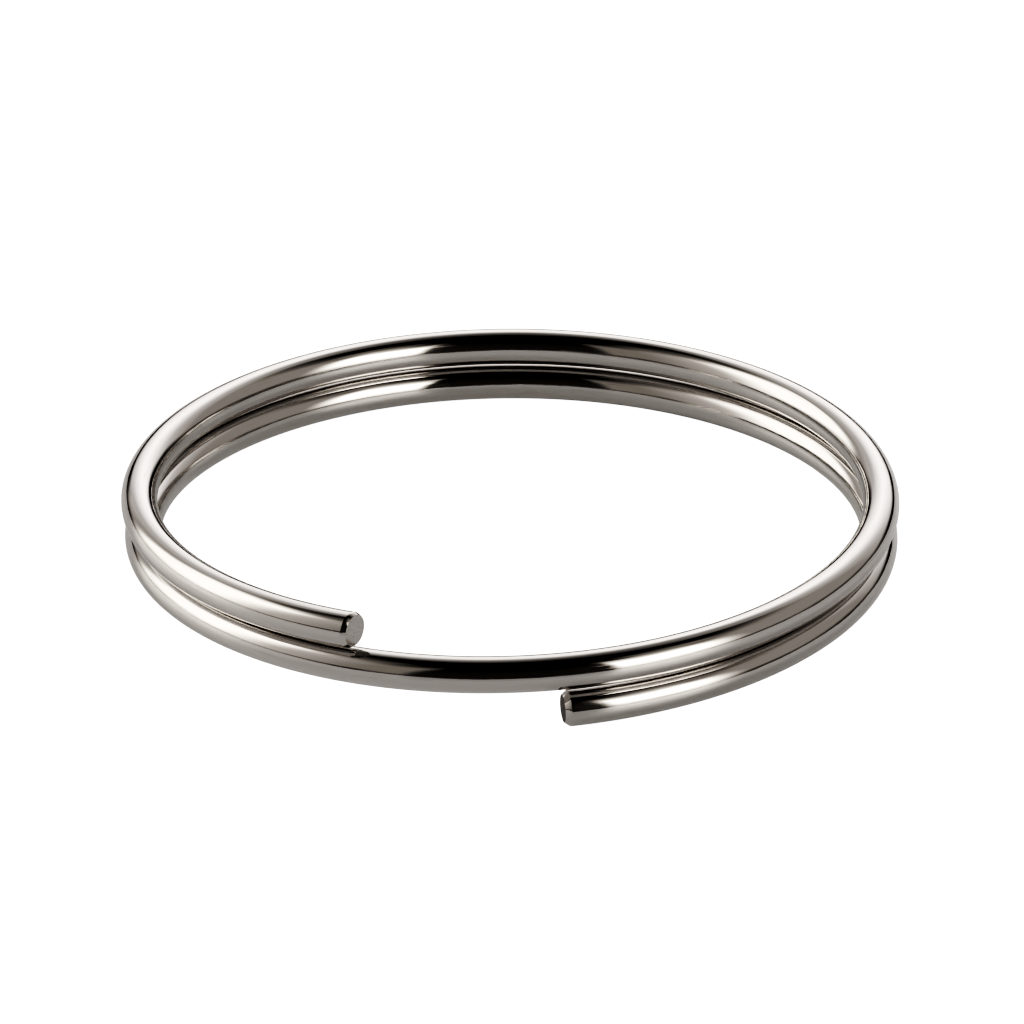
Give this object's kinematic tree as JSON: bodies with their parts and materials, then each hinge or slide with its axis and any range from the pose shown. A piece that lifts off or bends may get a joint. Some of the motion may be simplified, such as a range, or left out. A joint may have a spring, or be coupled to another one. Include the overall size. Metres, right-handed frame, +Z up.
{
  "type": "split ring",
  "caption": "Flat key ring of round spring wire, close-wound so that a key can be worked in at either cut end and slid round into the eye.",
  "frame": {"origin": "on the surface that the ring lies on, under the centre of its eye", "axes": "+Z up, within two degrees of the coil's axis; -Y towards the middle of the split; the wire climbs counter-clockwise seen from above"},
  "size_m": [0.0321, 0.0321, 0.0043],
  "materials": {
    "bright_nickel": "polished"
  },
  "bodies": {
    "root": {"split_ring": "bright_nickel"}
  },
  "joints": []
}
